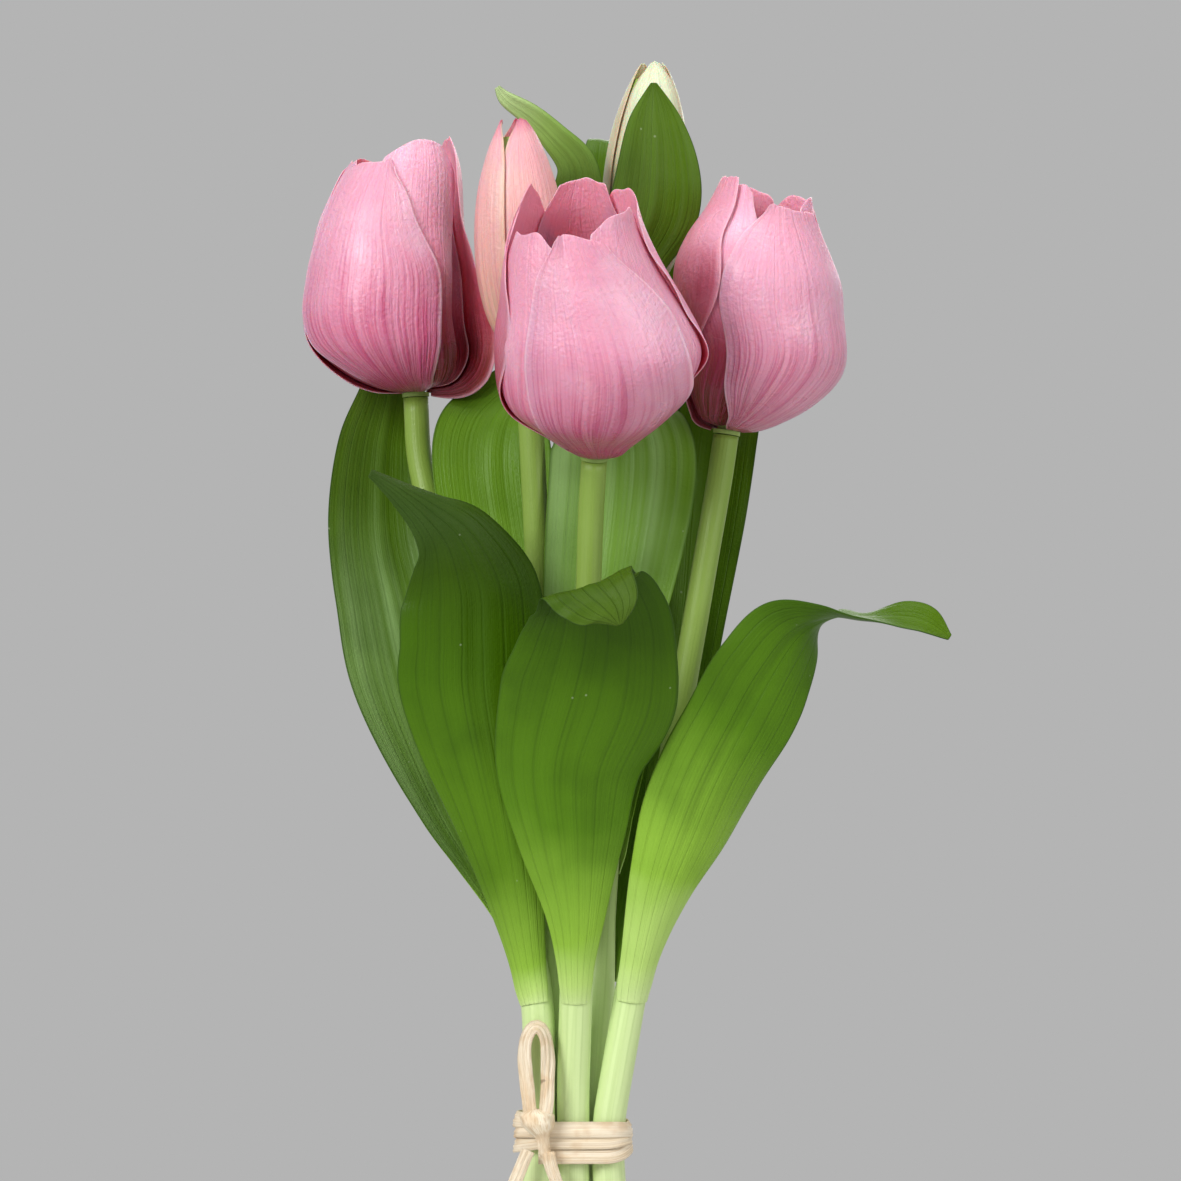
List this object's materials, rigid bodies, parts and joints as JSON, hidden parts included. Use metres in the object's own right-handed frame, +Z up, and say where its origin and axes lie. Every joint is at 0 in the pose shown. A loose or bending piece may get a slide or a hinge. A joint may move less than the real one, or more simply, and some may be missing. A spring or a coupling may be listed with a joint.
{
  "type": "artificial tulip bunch",
  "caption": "Tied bunch of artificial tulips, open pink blooms and slender buds on soft green stems with broad leaves and a raffia bow.",
  "frame": {"origin": "centre of the middle stem's cut end", "axes": "+Z up along the stems, the bunch's front looks towards -Y, +X to the right seen from the front"},
  "size_m": [0.1406, 0.1167, 0.393],
  "materials": {
    "stem": "satin soft coating",
    "wire": "drawn",
    "leaf": "satin, ribbed along its length",
    "petal": "satin, fine ribs",
    "pink_bud": "satin, fine ribs",
    "cream_bud": "satin, fine ribs",
    "receptacle": "moulded",
    "stamens": "moulded",
    "raffia": "dry plant fibre"
  },
  "bodies": {
    "bunch": {"left_stem": "stem", "left_stem_wire": "wire", "left_tall_leaf": "leaf", "left_short_leaf": "leaf", "centre_stem": "stem", "centre_stem_wire": "wire", "centre_tall_leaf": "leaf", "centre_short_leaf": "leaf", "right_stem": "stem", "right_stem_wire": "wire", "right_tall_leaf": "leaf", "right_short_leaf": "leaf", "pink_stem": "stem", "pink_stem_wire": "wire", "pink_tall_leaf": "leaf", "pink_short_leaf": "leaf", "cream_stem": "stem", "cream_stem_wire": "wire", "cream_tall_leaf": "leaf", "cream_short_leaf": "leaf", "tie_band": "raffia", "tie_knot": "raffia", "tie_loop": "raffia", "tie_left_tail": "raffia", "tie_right_tail": "raffia"},
    "left_bloom": {"left_bloom_base": "receptacle", "left_bloom_stamens": "stamens", "left_outer_petal_1": "petal", "left_inner_petal_1": "petal", "left_outer_petal_2": "petal", "left_inner_petal_2": "petal", "left_outer_petal_3": "petal", "left_inner_petal_3": "petal"},
    "centre_bloom": {"centre_bloom_base": "receptacle", "centre_bloom_stamens": "stamens", "centre_outer_petal_1": "petal", "centre_inner_petal_1": "petal", "centre_outer_petal_2": "petal", "centre_inner_petal_2": "petal", "centre_outer_petal_3": "petal", "centre_inner_petal_3": "petal"},
    "right_bloom": {"right_bloom_base": "receptacle", "right_bloom_stamens": "stamens", "right_outer_petal_1": "petal", "right_inner_petal_1": "petal", "right_outer_petal_2": "petal", "right_inner_petal_2": "petal", "right_outer_petal_3": "petal", "right_inner_petal_3": "petal"},
    "pink_bud": {"pink_bud_core": "receptacle", "pink_bud_petal_1": "pink_bud", "pink_bud_petal_2": "pink_bud", "pink_bud_petal_3": "pink_bud"},
    "cream_bud": {"cream_bud_core": "receptacle", "cream_bud_petal_1": "cream_bud", "cream_bud_petal_2": "cream_bud", "cream_bud_petal_3": "cream_bud"}
  },
  "joints": [
    {"name": "left_bloom_turn", "type": "hinge", "parent": "bunch", "child": "left_bloom", "pos_m": [-0.03531, 0.02504, 0.318], "axis": [-0.0389, 0.035, 0.9986], "continuous": true},
    {"name": "centre_bloom_turn", "type": "hinge", "parent": "bunch", "child": "centre_bloom", "pos_m": [0.00463, -0.02088, 0.303], "axis": [0.0633, -0.2854, 0.9563], "continuous": true},
    {"name": "right_bloom_turn", "type": "hinge", "parent": "bunch", "child": "right_bloom", "pos_m": [0.03378, 0.00285, 0.309], "axis": [0.1469, 0.016, 0.989], "continuous": true},
    {"name": "pink_bud_turn", "type": "hinge", "parent": "bunch", "child": "pink_bud", "pos_m": [-0.01021, 0.00197, 0.327], "axis": [-0.0657, -0.046, 0.9968], "continuous": true},
    {"name": "cream_bud_turn", "type": "hinge", "parent": "bunch", "child": "cream_bud", "pos_m": [0.01507, 0.02833, 0.342], "axis": [0.0161, 0.031, 0.9994], "continuous": true}
  ]
}
